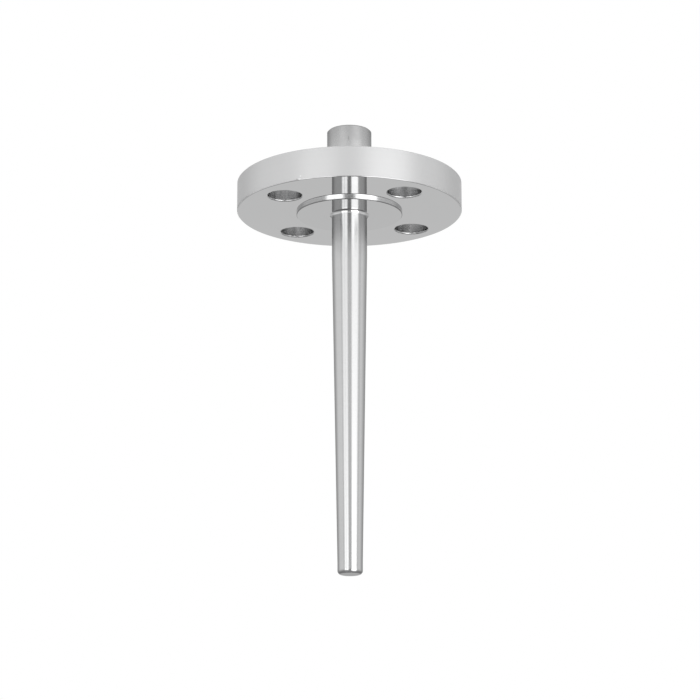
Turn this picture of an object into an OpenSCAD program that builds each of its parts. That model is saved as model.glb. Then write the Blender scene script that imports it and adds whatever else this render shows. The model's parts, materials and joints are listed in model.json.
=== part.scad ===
// Flanged thermowell, welded construction.
// A tapered well is turned and gun-drilled from one bar. Its shank passes through the bore of a
// raised-face pipe flange, its neck stands on the flange's back, and two welds close the joint:
// a fillet round the neck, and a groove weld in the raised face that is machined flush.
// Frame: z = 0 is the sealing face, +Z points to the instrument, the stem hangs along -Z.

/* [Flange] */
// Outside diameter of the flange
flange_d = 155; // [150:0.5:170]
// Thickness of the plate, without the raised face
flange_t = 21.3; // [17:0.1:30]
// Chamfer on the rim, on both sides
rim_chamfer = 0.8; // [0.4:0.1:2]

/* [Raised face] */
// Diameter of the raised sealing face
face_d = 73; // [60:0.5:80]
// Height of the raised face above the plate
face_h = 2.1; // [1.5:0.1:3]
// Edge break round the raised face
face_chamfer = 0.5; // [0.1:0.1:0.8]

/* [Bolt holes] */
// Number of bolt holes
bolt_count = 4; // [4:1:4]
// Diameter of the circle through the bolt holes' centres
bolt_circle_d = 114.3; // [108:0.1:122]
// Diameter of each bolt hole
bolt_hole_d = 22.2; // [16:0.1:24]
// Chamfer at both ends of each bolt hole
bolt_chamfer = 1.2; // [0.3:0.1:1.8]

/* [Neck] */
// Diameter of the neck that the instrument screws into
neck_d = 30.8; // [30:0.1:40]
// Height of the neck above the flange's back
neck_h = 38; // [32:0.5:80]
// Chamfer on the neck's top edge
neck_chamfer = 1; // [0.3:0.1:2]

/* [Stem] */
// Diameter of the stem at the sealing face, and of the shank in the flange
root_d = 24.2; // [22:0.1:27]
// Length of the parallel stretch under the sealing face, before the taper
root_land = 28; // [5:1:60]
// Diameter of the stem at its tip
tip_d = 16.9; // [15:0.1:20]
// Length of the stem below the sealing face
immersion = 250; // [150:1:400]
// Length of the parallel land at the tip
tip_land = 8; // [4:0.5:20]
// Rounding of the tip's edge
tip_round = 2.6; // [0.5:0.1:3.8]

/* [Instrument thread] */
// Diameter of the female thread over its roots
thread_d = 21.2; // [18:0.1:23]
// Depth of full thread
thread_depth = 20; // [14:0.5:26]
// Countersink at the thread's mouth, on the radius
thread_countersink = 0.9; // [0.3:0.1:1.5]
// Included angle of the funnel that leads a sensor into its bore
funnel_angle = 118; // [90:1:130]

/* [Sensor bore] */
// Diameter of the blind bore that takes the sensor
bore_d = 7; // [5:0.1:9]
// Metal between the drill's point and the tip's end face
tip_wall = 6.5; // [4:0.1:12]
// Included angle of the drill's point
drill_angle = 118; // [90:1:140]

/* [Fit and welds] */
// Gap between the shank and the flange's bore, on the radius
shank_gap = 0.1; // [0.05:0.01:0.3]
// Leg of the fillet weld round the neck
fillet_leg = 6; // [3:0.5:9]
// How far the fillet weld's face bulges out of its chord
fillet_bulge = 0.6; // [0.3:0.1:0.9]
// Width of the groove weld at the sealing face, outside the bore
groove_w = 5; // [3:0.1:6]
// Angle of the groove's bevel, from the axis
groove_angle = 40; // [30:1:50]
// Radius left by the tool where the stem leaves the sealing face
root_radius = 2; // [0.4:0.1:3]

/* [Hidden] */
$fn = 96;

flange_r = flange_d / 2;
face_r = face_d / 2;
neck_r = neck_d / 2;
shank_r = root_d / 2;
tip_r = tip_d / 2;
thread_r = thread_d / 2;
sensor_r = bore_d / 2;

// Levels along the axis
plate_z = face_h;
back_z = face_h + flange_t;
neck_top_z = back_z + neck_h;
thread_end_z = neck_top_z - thread_depth;
taper_z = -root_land;
land_z = tip_land - immersion;
tip_z = -immersion;

// The funnel and the drill's point are as deep as their cone angles make them
funnel_h = (thread_r - sensor_r) / tan(funnel_angle / 2);
drill_point_h = sensor_r / tan(drill_angle / 2);
bore_end_z = tip_z + tip_wall + drill_point_h;

// The shank's hole in the flange, and the groove that the face weld fills
shank_hole_r = shank_r + shank_gap;
groove_r = shank_hole_r + groove_w;
groove_h = groove_w / tan(groove_angle);

// How far a cutting tool runs past the face that it opens
overrun = 1;

// Radius of the circle through both toes of a fillet weld that bulges past its chord
function bead_r(leg, bulge) = leg * leg / (4 * bulge) + bulge / 2;

// Half section of the bar after turning: neck, shank, taper, parallel tip and its rounding
module well_outline() {
    edge_r = tip_r - tip_round;
    edge_z = tip_z + tip_round;
    difference() {
        polygon([
            [0, neck_top_z],
            [neck_r - neck_chamfer, neck_top_z],
            [neck_r, neck_top_z - neck_chamfer],
            [neck_r, back_z],
            [shank_r, back_z],
            [shank_r, taper_z],
            [tip_r, land_z],
            [tip_r, tip_z],
            [0, tip_z],
        ]);
        // What the rounding takes off the tip's corner
        difference() {
            translate([edge_r, tip_z - overrun]) square(tip_round + overrun);
            translate([edge_r, edge_z]) circle(r = tip_round);
        }
    }
}

// Half section of everything that is drilled or bored out of the bar from its top
module bore_outline() {
    polygon([
        [0, neck_top_z + overrun],
        [thread_r + thread_countersink + overrun, neck_top_z + overrun],
        [thread_r, neck_top_z - thread_countersink],
        [thread_r, thread_end_z],
        [sensor_r, thread_end_z - funnel_h],
        [sensor_r, bore_end_z],
        [0, bore_end_z - drill_point_h],
    ]);
}

// Half section of the flange's forging after facing and turning
module flange_outline() {
    polygon([
        [0, 0],
        [face_r - face_chamfer, 0],
        [face_r, face_chamfer],
        [face_r, plate_z],
        [flange_r - rim_chamfer, plate_z],
        [flange_r, plate_z + rim_chamfer],
        [flange_r, back_z - rim_chamfer],
        [flange_r - rim_chamfer, back_z],
        [0, back_z],
    ]);
}

// Half section of the shank's hole with its weld groove
module shank_hole_outline() {
    polygon([
        [0, -overrun],
        [groove_r, -overrun],
        [groove_r, 0],
        [shank_hole_r, groove_h],
        [shank_hole_r, back_z + overrun],
        [0, back_z + overrun],
    ]);
}

// One drilled hole through the plate, with a countersink at each end
module bolt_hole() {
    hole_r = bolt_hole_d / 2;
    rotate_extrude() polygon([
        [0, plate_z - overrun],
        [hole_r + bolt_chamfer + overrun, plate_z - overrun],
        [hole_r, plate_z + bolt_chamfer],
        [hole_r, back_z - bolt_chamfer],
        [hole_r + bolt_chamfer + overrun, back_z + overrun],
        [0, back_z + overrun],
    ]);
}

module well() {
    color("#b9bbbc") difference() {
        rotate_extrude() well_outline();
        rotate_extrude() bore_outline();
    }
}

// The bolt holes straddle the centrelines, as on any pipe flange
module flange() {
    first_angle = 180 / bolt_count;
    color("#cfd0d1") difference() {
        rotate_extrude() flange_outline();
        rotate_extrude() shank_hole_outline();
        for (i = [0 : bolt_count - 1])
            rotate(first_angle + i * 360 / bolt_count)
                translate([bolt_circle_d / 2, 0]) bolt_hole();
    }
}

// Fillet weld in the corner between the neck and the flange's back
module neck_weld() {
    bead = bead_r(fillet_leg, fillet_bulge);
    // The bead's centre lies on the corner's diagonal, as far back as its bulge needs
    inset = fillet_leg / 2 - (bead - fillet_bulge) / sqrt(2);
    color("#a9a59f") rotate_extrude() intersection() {
        translate([neck_r, back_z]) square(fillet_leg);
        translate([neck_r + inset, back_z + inset]) circle(r = bead);
    }
}

// Weld metal in the flange's groove, machined flush, with the tool's radius at the stem's root
module face_weld() {
    toe_r = shank_r + root_radius;
    color("#c4c5c6") rotate_extrude() difference() {
        polygon([
            [shank_r, groove_h],
            [shank_r, -root_radius],
            [toe_r, 0],
            [groove_r, 0],
            [shank_hole_r, groove_h],
        ]);
        translate([toe_r, -root_radius]) circle(r = root_radius);
    }
}

well();
flange();
neck_weld();
face_weld();
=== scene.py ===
"""Studio scene of a flanged thermowell: steel finishes, weld bead, female thread, light and camera."""
import json
import logging
import math
from dataclasses import dataclass, field
from enum import Enum
from functools import cached_property
from typing import Any, Sequence, Union

import bpy
import numpy as np
from mathutils import Matrix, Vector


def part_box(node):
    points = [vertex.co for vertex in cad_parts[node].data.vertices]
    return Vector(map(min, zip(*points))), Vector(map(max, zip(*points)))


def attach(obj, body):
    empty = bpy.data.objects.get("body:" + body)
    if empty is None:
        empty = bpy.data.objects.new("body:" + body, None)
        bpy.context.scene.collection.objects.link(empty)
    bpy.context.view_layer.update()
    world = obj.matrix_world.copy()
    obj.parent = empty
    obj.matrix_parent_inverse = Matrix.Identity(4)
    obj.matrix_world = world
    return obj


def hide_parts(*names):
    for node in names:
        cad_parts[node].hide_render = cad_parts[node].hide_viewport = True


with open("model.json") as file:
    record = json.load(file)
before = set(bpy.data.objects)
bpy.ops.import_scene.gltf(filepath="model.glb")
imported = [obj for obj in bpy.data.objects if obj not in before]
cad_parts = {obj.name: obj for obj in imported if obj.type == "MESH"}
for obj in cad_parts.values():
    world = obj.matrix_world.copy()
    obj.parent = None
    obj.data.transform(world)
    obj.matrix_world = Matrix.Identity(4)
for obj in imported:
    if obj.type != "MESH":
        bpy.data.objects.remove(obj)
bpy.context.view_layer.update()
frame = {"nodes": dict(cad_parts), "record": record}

LOG = logging.getLogger("thermowell")
BODY = "root"
MM = 0.001
MIDDLE = 0.5
"""Value that a noise texture lies round."""

Socket = bpy.types.NodeSocket
Feed = Union[Socket, float, Sequence[float]]
"""What an input takes: an output socket that it is linked to, or a plain value."""


# ---------------------------------------------------------------------------------------------
# Surfaces


def grid_mesh(name: str, points: np.ndarray, rows_meet: bool = False,
              columns_meet: bool = False) -> bpy.types.Object:
    """Makes a smooth-shaded mesh from a grid of points.

    A quad runs from each point to the next row, on to the next column, and back. So where the rows
    go round an axis counter-clockwise, the faces of rising columns look away from the axis.

    Args:
        name: Name of the object and its mesh.
        points: Array of shape (rows, columns, 3), in metres.
        rows_meet: Whether the last row joins the first.
        columns_meet: Whether the last column joins the first.

    Returns:
        The object, linked to the scene, at the origin.
    """
    rows, columns, _ = points.shape
    row, column = np.meshgrid(
        np.arange(rows if rows_meet else rows - 1),
        np.arange(columns if columns_meet else columns - 1),
        indexing="ij",
    )
    next_row = (row + 1) % rows
    next_column = (column + 1) % columns
    quads = np.stack(
        [
            row * columns + column,
            next_row * columns + column,
            next_row * columns + next_column,
            row * columns + next_column,
        ],
        axis=-1,
    ).reshape(-1, 4)
    mesh = bpy.data.meshes.new(name)
    mesh.vertices.add(rows * columns)
    mesh.vertices.foreach_set("co", points.astype(np.float32).ravel())
    mesh.loops.add(quads.size)
    mesh.loops.foreach_set("vertex_index", quads.astype(np.int32).ravel())
    mesh.polygons.add(len(quads))
    mesh.polygons.foreach_set("loop_start", np.arange(0, quads.size, 4, dtype=np.int32))
    mesh.update(calc_edges=True)
    mesh.polygons.foreach_set("use_smooth", np.ones(len(quads), bool))
    made = bpy.data.objects.new(name, mesh)
    bpy.context.scene.collection.objects.link(made)
    return made


def section_grid(around: int, along: np.ndarray) -> Sequence[np.ndarray]:
    """Lays sections round an axis.

    Args:
        around: Number of sections, at equal steps of angle.
        along: Places along a section.

    Returns:
        Each point's angle and its place, as arrays of shape (sections, places).
    """
    return np.meshgrid(np.linspace(0, 2 * np.pi, around, endpoint=False), along, indexing="ij")


def carried_round(radii: np.ndarray, levels: np.ndarray) -> np.ndarray:
    """Carries sections once round the z axis: (radius * cos, radius * sin, level) at each angle.

    Args:
        radii: Array of shape (sections, points in a section).
        levels: Heights, of the same shape.

    Returns:
        Array of shape (sections, points in a section, 3).
    """
    angle, _ = section_grid(len(radii), np.arange(radii.shape[1]))
    return np.stack([radii * np.cos(angle), radii * np.sin(angle), levels], axis=-1)


# ---------------------------------------------------------------------------------------------
# Shader nodes


@dataclass
class NodeSheet:
    """Adds nodes and links to one node tree, with short calls for the usual operations."""

    tree: bpy.types.NodeTree
    """The node tree of a material, a world or a group."""

    def add(self, kind: str, inputs: dict[Any, Feed] | None = None, **settings: Any) -> bpy.types.Node:
        """Adds one node.

        Args:
            kind: The node's type name, such as ShaderNodeMath.
            inputs: What its inputs take, by name or number.
            **settings: Properties of the node, such as operation.

        Returns:
            The new node.
        """
        node = self.tree.nodes.new(kind)
        for key, value in settings.items():
            setattr(node, key, value)
        for key, value in (inputs or {}).items():
            self.feed(node.inputs[key], value)
        return node

    def feed(self, socket: Socket, value: Feed) -> None:
        """Links an input to an output, or sets its value.

        Args:
            socket: The input socket.
            value: What it takes.
        """
        if isinstance(value, Socket):
            self.tree.links.new(value, socket)
        else:
            socket.default_value = value

    def math(self, operation: str, *values: Feed) -> Socket:
        """Adds a Math node.

        Args:
            operation: The node's operation, such as MULTIPLY.
            *values: What its inputs take, in order.

        Returns:
            The node's output.
        """
        return self.add("ShaderNodeMath", dict(enumerate(values)), operation=operation).outputs[0]

    def vector_math(self, operation: str, *values: Feed) -> Socket:
        """Adds a Vector Math node.

        Args:
            operation: The node's operation, such as SUBTRACT.
            *values: What its inputs take, in order.

        Returns:
            The node's output, which is a number for LENGTH and a vector for all others.
        """
        node = self.add("ShaderNodeVectorMath", dict(enumerate(values)), operation=operation)
        return node.outputs["Value" if operation == "LENGTH" else "Vector"]

    def scaled(self, vector: Feed, factor: Feed) -> Socket:
        """Returns a vector times a number."""
        return self.add("ShaderNodeVectorMath", {0: vector, 3: factor}, operation="SCALE").outputs[0]

    def vector(self, x: Feed, y: Feed, z: Feed) -> Socket:
        """Returns the vector of three numbers."""
        return self.add("ShaderNodeCombineXYZ", {0: x, 1: y, 2: z}).outputs[0]

    def blend(self, mask: Feed, first: Feed, second: Feed) -> Socket:
        """Mixes two numbers by a mask: 0 gives the first, 1 the second."""
        return self.add("ShaderNodeMix", {0: mask, 2: first, 3: second}, data_type="FLOAT").outputs[0]

    def blend_vectors(self, mask: Feed, first: Feed, second: Feed) -> Socket:
        """Mixes two vectors by a mask: 0 gives the first, 1 the second."""
        return self.add("ShaderNodeMix", {0: mask, 4: first, 5: second}, data_type="VECTOR").outputs[1]

    def product(self, first: Feed, *others: Feed) -> Socket:
        """Multiplies numbers.

        Args:
            first: The first number.
            *others: The others.

        Returns:
            The product.
        """
        for other in others:
            first = self.math("MULTIPLY", first, other)
        return first

    def rise(self, value: Feed, start: float, end: float) -> Socket:
        """Returns a mask that rises smoothly from 0 at the start to 1 at the end."""
        limits = {"Value": value, "From Min": start, "From Max": end}
        return self.add("ShaderNodeMapRange", limits, interpolation_type="SMOOTHSTEP").outputs[0]

    def fade(self, value: Feed, start: float, end: float) -> Socket:
        """Returns a mask that fades smoothly from 1 at the start to 0 at the end."""
        limits = {"Value": value, "From Min": start, "From Max": end, "To Min": 1.0, "To Max": 0.0}
        return self.add("ShaderNodeMapRange", limits, interpolation_type="SMOOTHSTEP").outputs[0]

    def noise(self, vector: Feed, scale: float, detail: float = 2.0, roughness: float = 0.5) -> Socket:
        """Adds a 3-D noise texture.

        Args:
            vector: Where the noise is read.
            scale: Waves in one unit of the vector.
            detail: Number of finer octaves.
            roughness: Share of the finer octaves.

        Returns:
            The noise's value.
        """
        node = self.add(
            "ShaderNodeTexNoise",
            {"Vector": vector, "Scale": scale, "Detail": detail, "Roughness": roughness},
        )
        return node.outputs[0]


@dataclass
class TurnedPlace:
    """Where a shaded point lies on a turned piece. A socket's nodes are added when it is first read."""

    sheet: NodeSheet
    position: Socket

    @cached_property
    def parts(self) -> tuple[Socket, ...]:
        """The position's x, y and z."""
        return tuple(self.sheet.add("ShaderNodeSeparateXYZ", {0: self.position}).outputs)

    @cached_property
    def flat(self) -> Socket:
        """The position's part square to the axis."""
        return self.sheet.vector(*self.parts[:2], 0.0)

    @cached_property
    def radius(self) -> Socket:
        """Distance from the axis."""
        return self.sheet.vector_math("LENGTH", self.flat)

    @cached_property
    def outward(self) -> Socket:
        """Unit vector away from the axis."""
        return self.sheet.vector_math("NORMALIZE", self.flat)

    @property
    def level(self) -> Socket:
        """Height along the axis."""
        return self.parts[2]


def shader_group(name: str, inputs: Sequence[tuple[str, str]],
                 outputs: Sequence[tuple[str, str]]) -> tuple[bpy.types.NodeTree, NodeSheet]:
    """Starts a shader node group with named sockets.

    Args:
        name: The group's name.
        inputs: Name and socket type of each input.
        outputs: Name and socket type of each output.

    Returns:
        The group, and a sheet that adds nodes to it.
    """
    group = bpy.data.node_groups.new(name, "ShaderNodeTree")
    for label, kind in inputs:
        group.interface.new_socket(label, in_out="INPUT", socket_type=kind)
    for label, kind in outputs:
        group.interface.new_socket(label, in_out="OUTPUT", socket_type=kind)
    return group, NodeSheet(group)


def start_material(name: str) -> tuple[bpy.types.Material, NodeSheet]:
    """Makes an empty node material.

    Args:
        name: The material's name.

    Returns:
        The material and its node sheet.
    """
    material = bpy.data.materials.new(name)
    material.use_nodes = True
    material.node_tree.nodes.clear()
    return material, NodeSheet(material.node_tree)


def set_material(piece: bpy.types.Object, material: bpy.types.Material) -> None:
    """Gives a piece one material in place of what it has.

    Args:
        piece: The piece's object.
        material: Its new material.
    """
    if piece.material_slots:
        piece.material_slots[0].material = material
    else:
        piece.data.materials.append(material)


class SteelEffects:
    """The node groups that all the steel finishes share, each built once."""

    COARSE_RATE: float = 0.07
    """Waves of the lathe's coarse rings in one of its fine rings."""
    COARSE_HEIGHT: float = 0.6
    """Height of the coarse rings as a share of the fine rings'."""
    FINE_TONE: float = 0.35
    """How much the fine rings tint the metal, as a share of what the coarse rings do."""
    WAVE_RATE: float = 1.7
    """Waves of a wall's waviness in one smudge."""
    EDGE_SLACK: float = 0.04
    """How far off a chamfer still counts as on it, as a share of its width."""

    def __init__(self) -> None:
        """Builds the groups."""
        self.lathe = self._lathe_marks()
        self.handling = self._handling()
        self.edge = self._rounded_edge()

    def _lathe_marks(self) -> bpy.types.NodeTree:
        """Builds the group that draws the rings a lathe tool leaves.

        A ring is a place of equal radius on a face and of equal height on a wall. The group takes
        both from the position: on a face the radius runs and the height stands still, on a wall it
        is the other way round, so noise read at (radius, height) draws rings on either.

        Returns:
            The group, with outputs Height for a bump and Tone round one half.
        """
        group, sheet = shader_group(
            "lathe_marks",
            [("Position", "NodeSocketVector"), ("Pitch", "NodeSocketFloat")],
            [("Height", "NodeSocketFloat"), ("Tone", "NodeSocketFloat")],
        )
        source = sheet.add("NodeGroupInput").outputs
        place = TurnedPlace(sheet, source["Position"])
        section = sheet.vector(place.radius, place.level, 0.0)
        read_at = sheet.scaled(section, sheet.math("DIVIDE", 1.0, source["Pitch"]))
        fine = sheet.noise(read_at, 1.0, detail=1.0)
        coarse = sheet.noise(read_at, self.COARSE_RATE, detail=3.0, roughness=0.6)
        around_zero = sheet.math("SUBTRACT", fine, MIDDLE)
        sink = sheet.add("NodeGroupOutput").inputs
        sheet.feed(sink["Height"], sheet.math("MULTIPLY_ADD", coarse, self.COARSE_HEIGHT, fine))
        sheet.feed(sink["Tone"], sheet.math("MULTIPLY_ADD", around_zero, self.FINE_TONE, coarse))
        return group

    def _handling(self) -> bpy.types.NodeTree:
        """Builds the group for smudges, faint stains and the slight waviness of a polished wall.

        Returns:
            The group, with outputs Smudge and Wave, both round one half.
        """
        group, sheet = shader_group(
            "handling",
            [("Position", "NodeSocketVector"), ("Size", "NodeSocketFloat")],
            [("Smudge", "NodeSocketFloat"), ("Wave", "NodeSocketFloat")],
        )
        source = sheet.add("NodeGroupInput").outputs
        place = sheet.scaled(source["Position"], sheet.math("DIVIDE", 1.0, source["Size"]))
        sink = sheet.add("NodeGroupOutput").inputs
        sheet.feed(sink["Smudge"], sheet.noise(place, 1.0, detail=5.0, roughness=0.62))
        sheet.feed(sink["Wave"], sheet.noise(place, self.WAVE_RATE, detail=0.0))
        return group

    def _rounded_edge(self) -> bpy.types.NodeTree:
        """Builds the group that shades a chamfer between a wall and a face as a rounding.

        Depth is how far a place lies behind the wall and Height how far it lies behind the face,
        so their sum is the width of the chamfer all over it. The share (depth less height plus
        width) / (2 * width) runs from 0 at the wall to 1 at the face. Raised to the power Hold, it
        blends their normals, so a higher Hold keeps more of the chamfer turned like the wall.

        Returns:
            The group, with the wrapped Normal as its output.
        """
        group, sheet = shader_group(
            "rounded_edge",
            [("Normal", "NodeSocketVector"), ("Wall", "NodeSocketVector"), ("Face", "NodeSocketVector"),
             ("Depth", "NodeSocketFloat"), ("Height", "NodeSocketFloat"), ("Width", "NodeSocketFloat"),
             ("Hold", "NodeSocketFloat")],
            [("Normal", "NodeSocketVector")],
        )
        source = sheet.add("NodeGroupInput").outputs
        depth, height, width = source["Depth"], source["Height"], source["Width"]
        ahead = sheet.math("ADD", sheet.math("SUBTRACT", depth, height), width)
        share = sheet.math("DIVIDE", ahead, sheet.product(width, 2.0))
        share = sheet.math("MINIMUM", sheet.math("MAXIMUM", share, 0.0), 1.0)
        share = sheet.math("POWER", share, source["Hold"])
        rounded = sheet.blend_vectors(share, source["Wall"], source["Face"])
        off = sheet.math("ABSOLUTE", sheet.math("SUBTRACT", sheet.math("ADD", depth, height), width))
        near = sheet.math("LESS_THAN", off, sheet.product(width, self.EDGE_SLACK))
        least = sheet.product(width, -self.EDGE_SLACK)
        behind_wall = sheet.math("GREATER_THAN", depth, least)
        behind_face = sheet.math("GREATER_THAN", height, least)
        here = sheet.product(near, behind_wall, behind_face)
        wrapped = sheet.blend_vectors(here, source["Normal"], rounded)
        sheet.feed(sheet.add("NodeGroupOutput").inputs["Normal"], sheet.vector_math("NORMALIZE", wrapped))
        return group


# ---------------------------------------------------------------------------------------------
# Finishes


@dataclass(frozen=True)
class SteelZone:
    """How one zone of a steel piece is finished; in some zones the tone also paints light or shade."""

    tone: float
    """Reflectance of the bare metal, as a linear grey."""
    roughness: float
    """Roughness between marks."""
    marks: float = 0.05
    """How far the tool's rings change the roughness."""
    smudges: float = 0.03
    """How far smudges change the roughness."""


class Channel(Enum):
    """What a zone's values feed."""

    TONE = "tone"
    ROUGHNESS = "roughness"
    MARKS = "marks"
    SMUDGES = "smudges"


@dataclass(frozen=True)
class Mark:
    """A small mark on a turned wall: a scratch that handling left, or a ding's painted glint or shade."""

    zone: SteelZone
    # How the metal is finished in it, or the tone that paints a glint or a shade.
    """How the metal is finished in it."""
    bearing: float
    """Where it lies round the axis, in degrees."""
    rise: float
    """Its height above the level that it is measured from."""
    width: float
    length: float
    core: float = 0.6
    """Where its finish begins to fade, as a share of its half size."""
    faded: float = 1.1
    """Where its finish has faded out, as a share of its half size."""

    def mask(self, place: TurnedPlace, radius: float, level: float) -> Socket:
        """Works out where the mark is: an ellipsoid of its width and length with a soft edge.

        Args:
            place: Where the shaded point lies.
            radius: Radius of the wall that the mark is on.
            level: The level that its rise is measured from.

        Returns:
            A mask that is 1 in the mark.
        """
        turned = math.radians(self.bearing)
        centre = (radius * math.cos(turned), radius * math.sin(turned), level + self.rise)
        halves = (self.width / 2, self.width / 2, self.length / 2)
        sheet = place.sheet
        away = sheet.vector_math("DIVIDE", sheet.vector_math("SUBTRACT", place.position, centre), halves)
        return sheet.fade(sheet.vector_math("LENGTH", away), self.core, self.faded)


@dataclass(frozen=True)
class SteelFinish:
    """A stainless steel finish: its lowest zone, and what all its zones share."""

    name: str
    ground: SteelZone
    """The zone that lies under all the others."""
    tint: tuple[float, float, float] = (1.0, 1.002, 1.006)
    ring_pitch: float = 0.35 * MM
    ring_depth: float = 0.0008 * MM
    smudge_size: float = 18 * MM
    wave_depth: float = 0.001 * MM
    least_roughness: float = 0.02
    tone_change: float = -0.5
    """How much the tone changes where marks and smudges change the roughness."""
    turned: float = 0.0
    """How much more the finish blurs along the axis than round it, from 0 to 1."""
    edge_on: float = 1.0
    """Reflectance where the metal is seen nearly edge on, as a share of a clean metal's."""


class SteelCoat:
    """The material of one steel piece while it is built."""

    def __init__(self, finish: SteelFinish, effects: SteelEffects) -> None:
        """Starts the material.

        Args:
            finish: The finish that it shows.
            effects: The shared node groups.
        """
        self.finish = finish
        self.effects = effects
        self.material, self.sheet = start_material(finish.name)
        self.place = TurnedPlace(self.sheet, self.sheet.add("ShaderNodeTexCoord").outputs["Object"])

    def cover(self, piece: bpy.types.Object, layers: Sequence[tuple[SteelZone, Socket]] = (),
              relief: Feed = 0.0, normal: Socket | None = None, lengthwise: Feed = 0.0,
              gain: Feed = 1.0) -> None:
        """Adds the finish's nodes and its shader, and gives the material to a piece.

        Args:
            piece: The piece's object.
            layers: Zones and the mask that lays each over the ones before.
            relief: A further height for the bump.
            normal: The normal under the bump, or None for the mesh's own.
            lengthwise: Mask of where a turned finish is ground lengthwise, so that it blurs round
                the axis instead.
            gain: Factor on the tone.
        """
        finish, sheet = self.finish, self.sheet
        values = {channel: getattr(finish.ground, channel.value) for channel in Channel}
        for zone, mask in layers:
            for channel in Channel:
                values[channel] = sheet.blend(mask, values[channel], getattr(zone, channel.value))
        rings = sheet.add("ShaderNodeGroup", node_tree=self.effects.lathe)
        sheet.feed(rings.inputs["Position"], self.place.position)
        sheet.feed(rings.inputs["Pitch"], finish.ring_pitch)
        hands = sheet.add("ShaderNodeGroup", node_tree=self.effects.handling)
        sheet.feed(hands.inputs["Position"], self.place.position)
        sheet.feed(hands.inputs["Size"], finish.smudge_size)
        ring_tone = sheet.math("SUBTRACT", rings.outputs["Tone"], MIDDLE)
        smudge_tone = sheet.math("SUBTRACT", hands.outputs["Smudge"], MIDDLE)
        ring_part = sheet.product(ring_tone, values[Channel.MARKS])
        smudge_part = sheet.product(smudge_tone, values[Channel.SMUDGES])
        change = sheet.math("ADD", ring_part, smudge_part)
        roughness = sheet.math("ADD", values[Channel.ROUGHNESS], change)
        toned = sheet.math("MULTIPLY_ADD", change, finish.tone_change, 1.0)
        tone = sheet.product(values[Channel.TONE], toned, gain)
        height = sheet.product(rings.outputs["Height"], finish.ring_depth)
        height = sheet.math("MULTIPLY_ADD", hands.outputs["Wave"], finish.wave_depth, height)
        height = sheet.math("ADD", height, relief)
        bump = sheet.add("ShaderNodeBump", {"Height": height, "Distance": 1.0, "Strength": 1.0})
        if normal is not None:
            sheet.feed(bump.inputs["Normal"], normal)
        shader = sheet.add("ShaderNodeBsdfPrincipled", {"Metallic": 1.0, "Anisotropic": finish.turned})
        sheet.feed(shader.inputs["Specular Tint"], (finish.edge_on, finish.edge_on, finish.edge_on, 1.0))
        sheet.feed(shader.inputs["Base Color"], sheet.scaled(finish.tint, tone))
        sheet.feed(shader.inputs["Roughness"], sheet.math("MAXIMUM", roughness, finish.least_roughness))
        sheet.feed(shader.inputs["Normal"], bump.outputs[0])
        if finish.turned:
            sheet.feed(shader.inputs["Tangent"], self.grain(lengthwise))
        sheet.add("ShaderNodeOutputMaterial", {"Surface": shader.outputs[0]})
        set_material(piece, self.material)

    def grain(self, lengthwise: Feed) -> Socket:
        """Works out the way in which a turned wall blurs what it mirrors.

        That is along the axis where the tool went round, and round the axis, which is (-y, x, 0),
        where the wall is ground lengthwise.

        Args:
            lengthwise: Mask of where the wall is ground lengthwise.

        Returns:
            The tangent for the shader.
        """
        x, y, _ = self.place.parts
        along = self.sheet.vector(x, y, 1.0)
        around = self.sheet.vector(self.sheet.product(y, -1.0), x, 0.0)
        return self.sheet.blend_vectors(lengthwise, along, around)


def mount(name: str) -> dict[str, Any]:
    """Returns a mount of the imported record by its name."""
    return next(m for m in frame["record"]["mounts"] if m["name"] == name)


def report(piece: bpy.types.Object) -> None:
    """Logs a piece's name and how many faces it has."""
    LOG.info("%s: %d faces", piece.name, len(piece.data.polygons))


# ---------------------------------------------------------------------------------------------
# Sub-assemblies


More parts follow.
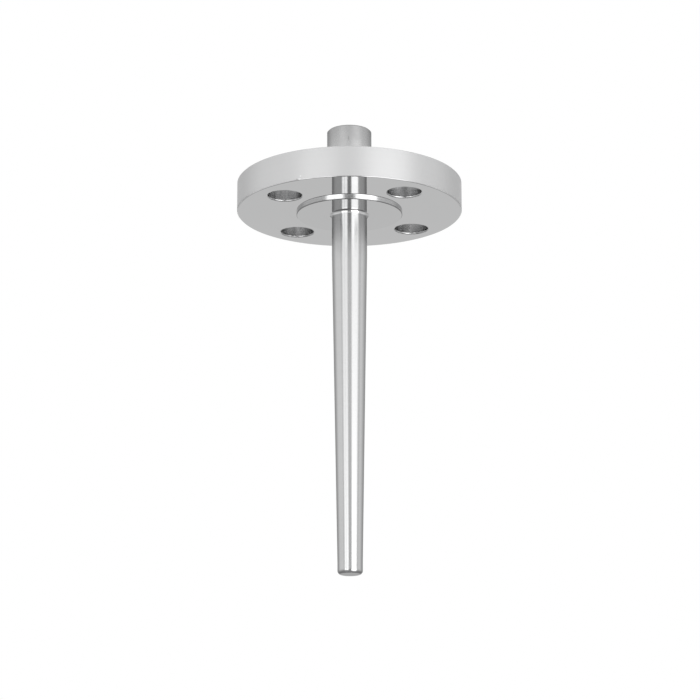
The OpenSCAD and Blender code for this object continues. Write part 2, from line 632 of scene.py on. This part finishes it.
@dataclass
class Flange:
    """The forged and turned pipe flange."""

    rim_chamfer: float = 0.8 * MM
    face_radius: float = 36.5 * MM
    face_chamfer: float = 0.5 * MM
    hole_chamfer: float = 1.2 * MM
    crisp: float = 3.0
    """How long the rim's chamfers stay turned like the rim, as a power."""
    worn: float = 1.5
    """The same for the bolt holes' chamfers."""
    plain: float = 1.0
    """The same for the raised face's chamfer, which is rounded evenly."""
    wall_share: float = 0.9
    """How much of a chamfer has the finish of the wall beside it."""
    rim_blend: float = 0.2 * MM
    """Over what length the rim's finish blends with the faces'."""
    hole_blend: float = 0.1 * MM
    """The same for the bolt holes' walls."""
    raised_fade: tuple[float, float] = (0.3, 0.4)
    """Where the raised face's finish fades out, as shares of the step's height."""
    step_end: float = 0.98
    # Where the step's finish and its painted highlight end, as a share of its height.
    """Where the step's finish ends, as a share of its height."""
    painted_shade_fade: tuple[float, float] = (1.1, 1.5)
    # Where the painted shade along the raised face's edge fades out, in widths of its chamfer.
    """Where the broken edge's finish fades out, in widths of its chamfer."""
    streak_depth: float = 0.1 * MM
    streak_scale: float = 160.0
    """Waves of the drill's streaks in a metre across a hole."""
    streak_rise: float = 0.06
    """How fast they change along the hole, as a share of how fast they do across it."""
    streak_tone: float = 1.1
    """How far they change the tone of the hole's wall."""
    mirror: SteelZone = SteelZone(tone=0.56, roughness=0.045)
    rim: SteelZone = SteelZone(tone=0.58, roughness=0.42, marks=0.06, smudges=0.05)
    drilled: SteelZone = SteelZone(tone=0.62, roughness=0.26, smudges=0.05)
    # The step wall's tone lies above the bare steel's, which paints the wall lighter: a painted highlight
    # over its own turned finish.
    step: SteelZone = SteelZone(tone=0.8, roughness=0.2)
    # Dark tone along the raised face's edge, on the step: painted shade, a dark line.
    painted_edge_shade: SteelZone = SteelZone(tone=0.32, roughness=0.22)
    raised: SteelZone = SteelZone(tone=0.535, roughness=0.045)
    # A ding on the rim's lower edge is not cut: its glint and shade are painted, as a lighter and a darker
    # tone.
    ding_painted_glint: SteelZone = SteelZone(tone=0.72, roughness=0.42)
    ding_painted_shade: SteelZone = SteelZone(tone=0.38, roughness=0.42)
    rim_ding_painted_light: tuple[Mark, ...] = (
        Mark(ding_painted_glint, bearing=-110.5, rise=0.7 * MM, width=2.4 * MM, length=1.4 * MM),
        Mark(ding_painted_glint, bearing=-110.0, rise=2.6 * MM, width=1.4 * MM, length=1.2 * MM),
        Mark(ding_painted_shade, bearing=-112.0, rise=0.4 * MM, width=1.6 * MM, length=1.6 * MM),
    )
    radius: float = field(init=False)
    plate: float = field(init=False)
    """Height of the plate's underside above the raised face."""
    back: float = field(init=False)
    bolt_circle: float = field(init=False)
    """Radius of the circle that the bolt holes' axes lie on."""
    hole_radius: float = field(init=False)

    def __post_init__(self) -> None:
        """Reads the flange's measures from the frame."""
        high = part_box("flange")[1]
        self.radius = high.x
        self.back = high.z
        bolts = mount("flange_bolts")
        self.plate = 2 * bolts["pos_m"][2] - self.back
        self.bolt_circle = bolts["dims"]["pcd_mm"] * MM / 2
        self.hole_radius = bolts["dims"]["hole_r_mm"] * MM

    def from_hole(self, place: TurnedPlace) -> Socket:
        """Works out the way from the nearest bolt hole's axis, square to it.

        One hole lies in each quarter, at equal x and y, so the signs of x and y tell its place.

        Args:
            place: Where the shaded point lies.

        Returns:
            The vector from the hole's axis.
        """
        sheet = place.sheet
        offset = self.bolt_circle / math.sqrt(2)
        aside = [sheet.math("SUBTRACT", part, sheet.product(sheet.math("SIGN", part), offset))
                 for part in place.parts[:2]]
        return sheet.vector(*aside, 0.0)

    def round_edges(self, effects: SteelEffects, place: TurnedPlace, from_hole: Socket) -> Socket:
        """Wraps the normals round the chamfers of the rim, the raised face and the bolt holes.

        Args:
            effects: The shared node groups.
            place: Where the shaded point lies.
            from_hole: The way from the nearest hole's axis.

        Returns:
            The wrapped normal.
        """
        sheet, outward, level = place.sheet, place.outward, place.level
        into_hole = sheet.scaled(sheet.vector_math("NORMALIZE", from_hole), -1.0)
        behind_rim = sheet.math("SUBTRACT", self.radius, place.radius)
        behind_step = sheet.math("SUBTRACT", self.face_radius, place.radius)
        behind_wall = sheet.math("SUBTRACT", sheet.vector_math("LENGTH", from_hole), self.hole_radius)
        over_plate = sheet.math("SUBTRACT", level, self.plate)
        under_back = sheet.math("SUBTRACT", self.back, level)
        down, up = (0.0, 0.0, -1.0), (0.0, 0.0, 1.0)
        normal = sheet.add("ShaderNodeNewGeometry").outputs["Normal"]
        for wall, depth, face, height, width, hold in (
            (outward, behind_rim, down, over_plate, self.rim_chamfer, self.crisp),
            (outward, behind_rim, up, under_back, self.rim_chamfer, self.crisp),
            (outward, behind_step, down, level, self.face_chamfer, self.plain),
            (into_hole, behind_wall, down, over_plate, self.hole_chamfer, self.worn),
            (into_hole, behind_wall, up, under_back, self.hole_chamfer, self.worn),
        ):
            edge = sheet.add("ShaderNodeGroup", node_tree=effects.edge)
            for label, value in (("Normal", normal), ("Wall", wall), ("Face", face), ("Depth", depth),
                                 ("Height", height), ("Width", width), ("Hold", hold)):
                sheet.feed(edge.inputs[label], value)
            normal = edge.outputs["Normal"]
        return normal

    def layers(self, place: TurnedPlace, on_wall: Socket) -> list[tuple[SteelZone, Socket]]:
        """Works out where each zone's finish, and the painted highlight, shade and glint, lie.

        Args:
            place: Where the shaded point lies.
            on_wall: Mask of the bolt holes' walls.

        Returns:
            Zones and their masks, from the lowest layer to the highest.
        """
        sheet, radius, level = place.sheet, place.radius, place.level
        edge = self.radius - self.rim_chamfer / 2
        on_rim = sheet.rise(radius, edge, edge + self.rim_blend)
        raised_from, raised_to = (self.plate * share for share in self.raised_fade)
        on_raised = sheet.fade(level, raised_from, raised_to)
        # The step wall, painted lighter.
        under_plate = sheet.math("LESS_THAN", level, self.step_end * self.plate)
        beyond = sheet.math("GREATER_THAN", radius, self.face_radius - self.wall_share * self.face_chamfer)
        on_step = sheet.product(under_plate, beyond, sheet.math("SUBTRACT", 1.0, on_rim))
        # Painted shade: a dark line along the raised face's edge.
        shade_from, shade_to = (self.face_chamfer * share for share in self.painted_shade_fade)
        in_painted_shade = sheet.product(on_step, sheet.fade(level, shade_from, shade_to))
        # The ding's painted glint and painted shade on the rim.
        marks = [(mark.zone, mark.mask(place, self.radius, self.plate)) for mark in self.rim_ding_painted_light]
        return [(self.rim, on_rim), (self.drilled, on_wall), (self.raised, on_raised),
                (self.step, on_step), (self.painted_edge_shade, in_painted_shade), *marks]

    def dress(self, effects: SteelEffects) -> None:
        """Dresses the flange: polished faces, a fine-turned rim, drilled holes, and painted light and shade.

        Args:
            effects: The shared node groups.
        """
        coat = SteelCoat(SteelFinish("polished_flange", self.mirror), effects)
        sheet, place = coat.sheet, coat.place
        from_hole = self.from_hole(place)
        wall = self.hole_radius + self.wall_share * self.hole_chamfer
        on_wall = sheet.fade(sheet.vector_math("LENGTH", from_hole), wall, wall + self.hole_blend)
        x, y, level = place.parts
        streak_at = sheet.vector(x, y, sheet.product(level, self.streak_rise))
        streaks = sheet.noise(streak_at, self.streak_scale, detail=0.0)
        tone = sheet.product(sheet.math("SUBTRACT", streaks, MIDDLE), self.streak_tone)
        coat.cover(
            frame["nodes"]["flange"],
            self.layers(place, on_wall),
            relief=sheet.product(streaks, on_wall, self.streak_depth),
            normal=self.round_edges(effects, place, from_hole),
            gain=sheet.math("MULTIPLY_ADD", tone, on_wall, 1.0),
        )


@dataclass
class Well:
    """The turned and gun-drilled bar."""

    stem: SteelZone = SteelZone(tone=0.57, roughness=0.22)
    neck: SteelZone = SteelZone(tone=0.4, roughness=0.28, marks=0.1, smudges=0.25)
    # Painted light: the neck's foot, by the flange's back, has a higher tone, so the neck grows lighter
    # towards the flange.
    neck_foot_painted_light: SteelZone = SteelZone(tone=0.6, roughness=0.28, marks=0.1, smudges=0.25)
    bored: SteelZone = SteelZone(tone=0.4, roughness=0.34, marks=0.1, smudges=0.05)
    end_face: SteelZone = SteelZone(tone=0.8, roughness=0.06)
    scratched: SteelZone = SteelZone(tone=0.33, roughness=0.28, marks=0.1, smudges=0.05)
    scratch: Mark = Mark(scratched, bearing=-87.0, rise=-10 * MM, width=1.1 * MM, length=3.4 * MM)
    turned: float = 0.9
    edge_on: float = 0.55
    smudge_size: float = 8 * MM
    neck_blend: float = 1 * MM
    """Over what height the stem's finish blends with the neck's."""
    bore_blend: float = 0.3 * MM
    """Over what radius the bored wall's finish blends with the neck's."""
    end_fade: tuple[float, float] = (0.1 * MM, 0.4 * MM)
    """Where the end face's finish fades out, as heights above the tip."""
    tip: float = field(init=False)
    top: float = field(init=False)
    flange_back: float = field(init=False)
    neck_radius: float = field(init=False)
    thread_radius: float = field(init=False)

    def __post_init__(self) -> None:
        """Reads the well's measures from the frame."""
        low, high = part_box("well")
        self.tip = low.z
        self.top = high.z
        self.flange_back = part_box("flange")[1].z
        self.neck_radius = high.x
        self.thread_radius = mount("instrument_thread")["dims"]["r_mm"] * MM

    def dress(self, effects: SteelEffects) -> None:
        """Dresses the well: a polished stem, a satin turned neck painted lighter at its foot, and bored walls
        inside.

        Args:
            effects: The shared node groups.
        """
        finish = SteelFinish("turned_bar", self.stem, smudge_size=self.smudge_size, turned=self.turned,
                             edge_on=self.edge_on)
        coat = SteelCoat(finish, effects)
        sheet, level = coat.sheet, coat.place.level
        on_neck = sheet.rise(level, self.flange_back - self.neck_blend, self.flange_back)
        # Painted light at the neck's foot, fading out towards the top.
        in_painted_light = sheet.product(on_neck, sheet.fade(level, self.flange_back, self.top))
        inside = sheet.fade(coat.place.radius, self.thread_radius, self.thread_radius + self.bore_blend)
        in_neck = sheet.product(on_neck, inside)
        end_from, end_to = (self.tip + height for height in self.end_fade)
        on_end = sheet.fade(level, end_from, end_to)
        in_scratch = self.scratch.mask(coat.place, self.neck_radius, self.top)
        layers = [(self.neck, on_neck), (self.neck_foot_painted_light, in_painted_light), (self.bored, in_neck),
                  (self.scratch.zone, in_scratch), (self.end_face, on_end)]
        coat.cover(frame["nodes"]["well"], layers, lengthwise=on_neck)


@dataclass
class InstrumentThread:
    """The taper pipe thread cut in the neck, as a sleeve of metal that lines the bored wall."""

    pitch: float = 25.4 / 14 * MM
    """Fourteen turns in an inch."""
    height: float = 1.45 * MM
    flank: float = 1.3
    """How steep the flanks are: 1 for a sharp triangle wave, and more for flats at both its ends."""
    taper: float = 1 / 32
    """Loss of radius in a unit of depth."""
    countersink: float = 0.9 * MM
    runout_turns: float = 2.0
    sunk: float = 0.05 * MM
    """How far the sleeve's outer wall lies in the bar's metal."""
    around: int = 160
    rows_per_turn: int = 12
    ring_depth: float = 0.0004 * MM
    zone: SteelZone = SteelZone(tone=0.44, roughness=0.22, marks=0.1, smudges=0.04)
    radius: float = field(init=False)
    """Radius over the thread's roots at the mouth."""
    mouth: float = field(init=False)
    """Height of the neck's end face."""
    high: float = field(init=False)
    low: float = field(init=False)

    def __post_init__(self) -> None:
        """Reads the thread's measures from the frame."""
        thread = mount("instrument_thread")["dims"]
        self.radius = thread["r_mm"] * MM
        self.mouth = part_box("well")[1].z
        self.high = self.mouth - self.countersink
        self.low = self.high - thread["length_mm"] * MM

    def surface(self) -> np.ndarray:
        """Works out the sleeve.

        The inner wall's radius at an angle and a height is the radius over the thread's roots,
        less the taper, less a ridge. The ridge is a triangle wave of the number of pitches above
        the start less the turns made, cut flat at both ends. Near the bottom the roots fade out
        into the crests, and near the mouth a cone of 45 degrees cuts the crests away. A section
        runs down the inner wall and up the outer one, so the faces look out of the metal.

        Returns:
            Array of shape (angles, points in a section, 3).
        """
        rows = int((self.high - self.low) / self.pitch * self.rows_per_turn)
        angle, level = section_grid(self.around, np.linspace(self.high, self.low, rows))
        turns = level / self.pitch - angle / (2 * np.pi)
        wave = np.abs(2 * np.mod(turns, 1.0) - 1)
        ridge = np.clip((wave - 0.5) * self.flank + 0.5, 0, 1)
        root = self.radius - (self.high - level) * self.taper
        crest = root - self.height
        fade = np.clip((level - self.low) / (self.runout_turns * self.pitch), 0, 1)
        inner = crest + (root - crest) * (1 - ridge) * fade
        cone = self.radius + self.countersink - (self.mouth - level)
        inner = np.maximum(inner, np.minimum(cone, self.radius))
        outer = np.full((self.around, 2), self.radius + self.sunk)
        ends = np.broadcast_to([self.low, self.high], (self.around, 2))
        return carried_round(np.concatenate([inner, outer], axis=1), np.concatenate([level, ends], axis=1))

    def make(self, effects: SteelEffects) -> bpy.types.Object:
        """Makes the sleeve and dresses it.

        Args:
            effects: The shared node groups.

        Returns:
            The sleeve's object.
        """
        sleeve = grid_mesh("instrument_thread", self.surface(), rows_meet=True, columns_meet=True)
        SteelCoat(SteelFinish("cut_thread", self.zone, ring_depth=self.ring_depth), effects).cover(sleeve)
        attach(sleeve, BODY)
        return sleeve


@dataclass
class NeckWeld:
    """The fillet weld round the neck, laid as overlapping drops of metal."""

    drops: int = 46
    ripple: float = 0.32 * MM
    """Height of a drop's edge over the next drop."""
    bulge: float = 0.75 * MM
    """Height of the bead's middle over the chord between its toes."""
    sweep: float = 0.9
    """How far a drop's edge lags at both toes, in drops."""
    wander: float = 0.25 * MM
    """How much the legs fall short of the full leg, and about how far they wander."""
    waves: tuple[tuple[int, float, float], ...] = ((5, 0.4, 1.0), (11, 1.9, 0.6), (23, 0.0, 0.4))
    """The sine waves by which the legs wander: waves in a turn, start in radians, and share."""
    sunk: float = 0.3 * MM
    """How far the bead reaches into the flange and the neck."""
    around: int = 1104
    across: int = 20
    smudge_size: float = 6 * MM
    tint: tuple[float, float, float] = (1.03, 1.0, 0.95)
    bead: SteelZone = SteelZone(tone=0.5, roughness=0.26, smudges=0.2)
    neck_radius: float = field(init=False)
    foot: float = field(init=False)
    """Height of the flange's back, which the bead stands on."""
    leg: float = field(init=False)

    def __post_init__(self) -> None:
        """Reads the weld's measures from the frame."""
        low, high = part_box("neck_weld")
        self.neck_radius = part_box("well")[1].x
        self.foot = low.z
        self.leg = high.z - low.z

    def surface(self) -> np.ndarray:
        """Works out the bead.

        Across the bead a point runs from the toe on the flange to the toe on the neck along a
        straight chord, lifted square to the chord by the bulge times a half sine. Each drop lifts
        it further by an arc that falls off sharply at its trailing edge, and the drops' edges
        sweep back towards both toes. The legs wander slowly round the neck by sine waves.

        Returns:
            Array of shape (angles, points in a section, 3).
        """
        angle, across = section_grid(self.around, np.linspace(0, 1, self.across))
        drift = sum(share * np.sin(count * angle + start) for count, start, share in self.waves)
        size = self.leg - self.wander + self.wander * drift / 2
        phase = self.drops * angle / (2 * np.pi) + self.sweep * (2 * across - 1) ** 2
        drop = np.sqrt(1 - np.mod(phase, 1.0) ** 2)
        arch = np.sin(np.pi * across)
        lift = (self.bulge - self.ripple) * arch + self.ripple * drop * np.sqrt(arch)
        radial = (1 - across) * size + lift / math.sqrt(2)
        upward = across * size + lift / math.sqrt(2)
        corner = np.full((self.around, 1), -self.sunk)
        ends_radial = np.concatenate([corner, corner, size[:, :1]], axis=1)
        ends_upward = np.concatenate([size[:, :1], corner, corner], axis=1)
        radii = self.neck_radius + np.concatenate([radial, ends_radial], axis=1)
        levels = self.foot + np.concatenate([upward, ends_upward], axis=1)
        return carried_round(radii, levels)

    def make(self, effects: SteelEffects) -> bpy.types.Object:
        """Makes the bead, dresses it, and puts it in the plain weld's place.

        Args:
            effects: The shared node groups.

        Returns:
            The bead's object.
        """
        bead = grid_mesh("weld_bead", self.surface(), rows_meet=True, columns_meet=True)
        finish = SteelFinish("weld_bead", self.bead, tint=self.tint, smudge_size=self.smudge_size)
        SteelCoat(finish, effects).cover(bead)
        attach(bead, BODY)
        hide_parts("neck_weld")
        return bead


@dataclass
class FaceWeld:
    """The groove weld in the sealing face, machined and polished flush."""

    flush: SteelZone = SteelZone(tone=0.535, roughness=0.05)
    hollow: SteelZone = SteelZone(tone=0.6, roughness=0.12)
    hollow_fade: tuple[float, float] = (-0.1 * MM, -0.02 * MM)
    """Heights between which the finish of the hollow at the stem's root fades out."""
    hold: float = 0.47
    """How far the hollow stays turned like the stem."""

    def dress(self, effects: SteelEffects) -> None:
        """Dresses the weld like the face that it lies in, and its hollow more like the stem.

        Args:
            effects: The shared node groups.
        """
        coat = SteelCoat(SteelFinish("face_weld", self.flush), effects)
        sheet = coat.sheet
        in_hollow = sheet.fade(coat.place.level, *self.hollow_fade)
        share = sheet.product(in_hollow, self.hold)
        own = sheet.add("ShaderNodeNewGeometry").outputs["Normal"]
        normal = sheet.vector_math("NORMALIZE", sheet.blend_vectors(share, own, coat.place.outward))
        coat.cover(frame["nodes"]["face_weld"], [(self.hollow, in_hollow)], normal=normal)


# ---------------------------------------------------------------------------------------------
# Studio


def smooth_step(value: np.ndarray, start: float, end: float) -> np.ndarray:
    """Rises from 0 at the start to 1 at the end, level at both: three squares less two cubes.

    Args:
        value: What is measured.
        start: Where the rise begins. It may lie above the end, for a fall.
        end: Where it ends.

    Returns:
        The risen values, of the same shape.
    """
    share = np.clip((value - start) / (end - start), 0, 1)
    return share * share * (3 - 2 * share)


@dataclass(frozen=True)
class GlowBand:
    """An upright band of the studio's surround with soft edges: a light, or a wall between lights."""

    start: float
    """Bearing of its first edge, in degrees from the camera's side, positive to the right."""
    end: float
    """Bearing of its other edge."""
    blend: float
    """Width of its soft edges, in degrees."""
    low_glow: float
    """Brightness below the horizon."""
    high_glow: float
    """Brightness above the horizon."""

    def mask(self, bearing: np.ndarray) -> np.ndarray:
        """Works out the band's share: a smooth rise over its first edge less one over the other.

        Args:
            bearing: Bearings in degrees.

        Returns:
            Shares from 0 to 1.
        """
        half = self.blend / 2
        rise = smooth_step(bearing, self.start - half, self.start + half)
        return rise - smooth_step(bearing, self.end - half, self.end + half)


@dataclass(frozen=True)
class Surround:
    """A round shell that glows and stands in for the lights and walls that the steel mirrors."""

    radius: float = 1.1
    centre_height: float = -0.05
    columns: int = 720
    rows: int = 91
    back_glow: float = 0.77
    """Brightness on the side away from the camera."""
    horizon: tuple[float, float] = (-19.0, 5.0)
    """Heights between which a band changes its brightness, in degrees."""
    ground_glow: float = 0.3
    ground_depth: float = 15.0
    """How far below its upper edge the ground is at its full darkness, in degrees."""
    ground_edge: tuple[tuple[float, float], ...] = (
        (-180, -42), (-172, -38), (-160, -19), (-95, -19), (-60, -25), (-12, -25),
        (10, -42), (62, -42), (95, -19), (160, -19), (172, -38), (180, -42),
    )
    """The ground's upper edge: bearings, and its height there in degrees."""
    sky_glow: float = 1.05
    sky_edges: tuple[float, float] = (30.0, 62.0)
    """Heights between which the pale sky sets in, in degrees."""
    bands: tuple[GlowBand, ...] = (
        GlowBand(-160, -110, 30, 0.5, 0.68),  # far wall on the left
        GlowBand(112, 160, 30, 0.5, 0.68),  # far wall on the right
        GlowBand(-112, -45, 34, 0.72, 1.03),  # wall on the left
        GlowBand(45, 108, 34, 0.74, 1.0),  # wall on the right
        GlowBand(-49, -12.5, 8, 2.9, 1.35),  # light on the left
        GlowBand(-36, -30, 5, 2.1, 1.22),  # seam in the light on the left
        GlowBand(-12, 12, 8, 0.33, 0.86),  # dark side that the camera stands on
        GlowBand(14, 60, 9, 3.2, 1.5),  # light on the right
        GlowBand(-60, -52.5, 5, 0.62, 0.86),  # dark seam beside the light on the left
        GlowBand(68, 79, 8, 0.82, 0.8),  # dark seam beside the light on the right
    )

    def glow(self, bearing: np.ndarray, level: np.ndarray) -> np.ndarray:
        """Works out the brightness in each direction.

        Each band in turn is laid over what is there by its mask, at a brightness that changes
        smoothly from below the horizon to above it. Then the dark ground is laid over the lowest
        directions, up to an edge whose height changes round the shell, and the pale sky over the
        highest.

        Args:
            bearing: Bearings in degrees.
            level: Heights above the horizon in degrees, of the same shape.

        Returns:
            Brightness, of the same shape.
        """
        rise = smooth_step(level, *self.horizon)
        total = np.full_like(bearing, self.back_glow)
        for band in self.bands:
            total += band.mask(bearing) * (band.low_glow + rise * (band.high_glow - band.low_glow) - total)
        edge = np.interp(bearing, *zip(*self.ground_edge))
        ground = smooth_step(level - edge, 0.0, -self.ground_depth)
        total += ground * (self.ground_glow - total)
        total += smooth_step(level, *self.sky_edges) * (self.sky_glow - total)
        return total

    def make(self, turn: float) -> bpy.types.Object:
        """Makes the shell: a sphere by bearing and height, with its brightness as an attribute.

        Args:
            turn: Bearing of the camera's side, in degrees.

        Returns:
            The shell's object. Only reflections show it.
        """
        bearing, level = np.meshgrid(
            np.linspace(-180, 180, self.columns, endpoint=False), np.linspace(-90, 90, self.rows),
            indexing="ij",
        )
        turned, raised = np.radians(bearing + turn), np.radians(level)
        points = self.radius * np.stack(
            [np.sin(turned) * np.cos(raised), -np.cos(turned) * np.cos(raised), np.sin(raised)], axis=-1
        )
        shell = grid_mesh("surround", points + np.array([0, 0, self.centre_height]), rows_meet=True)
        brightness = shell.data.attributes.new("glow", "FLOAT", "POINT")
        brightness.data.foreach_set("value", self.glow(bearing, level).astype(np.float32).ravel())
        material, sheet = start_material("surround")
        glow = sheet.add("ShaderNodeAttribute", attribute_name="glow").outputs["Fac"]
        light = sheet.add("ShaderNodeEmission", {"Strength": glow})
        sheet.add("ShaderNodeOutputMaterial", {"Surface": light.outputs[0]})
        material.cycles.emission_sampling = "NONE"
        set_material(shell, material)
        shell.visible_camera = False
        shell.visible_diffuse = False
        shell.visible_shadow = False
        return shell


@dataclass
class Studio:
    """Camera, light, floor and background."""

    bearing: float = 4.7
    """Where the camera stands round the axis, in degrees."""
    distance: float = 1.5818
    """The camera's distance from the axis, in metres."""
    height: float = -0.5177
    sideways: float = 0.0002
    tilt: float = 14.934
    """How far the camera looks up, in degrees."""
    roll: float = -0.12
    lens: float = 123.88
    """The camera's focal length, in millimetres."""
    sensor: float = 36.0
    sight: tuple[float, float] = (0.05, 50.0)
    """Nearest and farthest distance that the camera sees."""
    floor_height: float = -1.2
    floor_reach: float = 12.0
    floor_tone: float = 0.82
    floor_roughness: float = 0.9
    lamp_place: tuple[float, float, float] = (0.3, 0.2, 2.4)
    lamp_size: float = 1.6
    lamp_power: float = 18.0
    fill: float = 0.8
    """Strength of the white world where it lights matt surfaces. It is 1 wherever it is seen."""
    surround: Surround = Surround()

    def make_camera(self) -> None:
        """Makes the camera, which stands below the flange and looks up at it."""
        lens = bpy.data.cameras.new("camera")
        lens.lens = self.lens
        lens.sensor_width = self.sensor
        lens.clip_start, lens.clip_end = self.sight
        camera = bpy.data.objects.new("camera", lens)
        turn = math.radians(self.bearing)
        camera.location = (
            self.sideways * math.cos(turn) + self.distance * math.sin(turn),
            self.sideways * math.sin(turn) - self.distance * math.cos(turn),
            self.height,
        )
        camera.rotation_mode = "YXZ"
        camera.rotation_euler = (math.radians(90 + self.tilt), 0.0, turn)
        bpy.context.scene.collection.objects.link(camera)
        bpy.context.scene.camera = camera
        bpy.context.view_layer.update()
        spin = math.radians(self.roll)
        camera.matrix_world = camera.matrix_world @ Matrix.Rotation(spin, 4, "Z")

    def make_floor(self) -> bpy.types.Object:
        """Makes the plain pale floor, far below, which is clear to whoever looks from beneath it.

        Returns:
            The floor's object.
        """
        ends = (-self.floor_reach, self.floor_reach)
        corners = np.array([[(x, y, self.floor_height) for y in ends] for x in ends])
        floor = grid_mesh("floor", corners)
        material, sheet = start_material("pale_floor")
        grey = (self.floor_tone, self.floor_tone, self.floor_tone, 1.0)
        paint = sheet.add("ShaderNodeBsdfPrincipled", {"Base Color": grey, "Roughness": self.floor_roughness})
        clear = sheet.add("ShaderNodeBsdfTransparent")
        beneath = sheet.add("ShaderNodeNewGeometry").outputs["Backfacing"]
        surface = sheet.add("ShaderNodeMixShader", {0: beneath, 1: paint.outputs[0], 2: clear.outputs[0]})
        sheet.add("ShaderNodeOutputMaterial", {"Surface": surface.outputs[0]})
        set_material(floor, material)
        return floor

    def make_world(self) -> None:
        """Makes the white world: full white where it is looked at, mirrored or seen through glass."""
        world = bpy.data.worlds.new("studio")
        bpy.context.scene.world = world
        world.use_nodes = True
        world.node_tree.nodes.clear()
        sheet = NodeSheet(world.node_tree)
        path = sheet.add("ShaderNodeLightPath").outputs
        seen = sheet.math("ADD", path["Is Camera Ray"], path["Is Glossy Ray"])
        seen = sheet.math("ADD", seen, path["Is Transmission Ray"])
        seen = sheet.math("MINIMUM", seen, 1.0)
        strength = sheet.blend(seen, self.fill, 1.0)
        back = sheet.add("ShaderNodeBackground", {"Color": (1, 1, 1, 1), "Strength": strength})
        sheet.add("ShaderNodeOutputWorld", {"Surface": back.outputs[0]})

    def make_lamp(self) -> None:
        """Makes the soft light above, which gives the floor its shadow."""
        data = bpy.data.lights.new("overhead", "AREA")
        data.shape = "SQUARE"
        data.size = self.lamp_size
        data.energy = self.lamp_power
        light = bpy.data.objects.new("overhead", data)
        light.location = self.lamp_place
        light.visible_camera = False
        light.visible_glossy = False
        bpy.context.scene.collection.objects.link(light)

    def build(self) -> None:
        """Builds the whole studio round the object."""
        self.make_world()
        report(self.make_floor())
        report(self.surround.make(self.bearing))
        self.make_lamp()
        bpy.context.scene.view_settings.view_transform = "Standard"


def main() -> None:
    """Builds the scene in order: camera, finishes, added pieces, studio."""
    logging.basicConfig(level=logging.INFO, format="%(name)s: %(message)s")
    studio = Studio()
    studio.make_camera()
    effects = SteelEffects()
    Flange().dress(effects)
    Well().dress(effects)
    FaceWeld().dress(effects)
    report(InstrumentThread().make(effects))
    report(NeckWeld().make(effects))
    studio.build()
    for node in frame["nodes"].values():
        report(node)


if __name__ == "__main__":
    main()
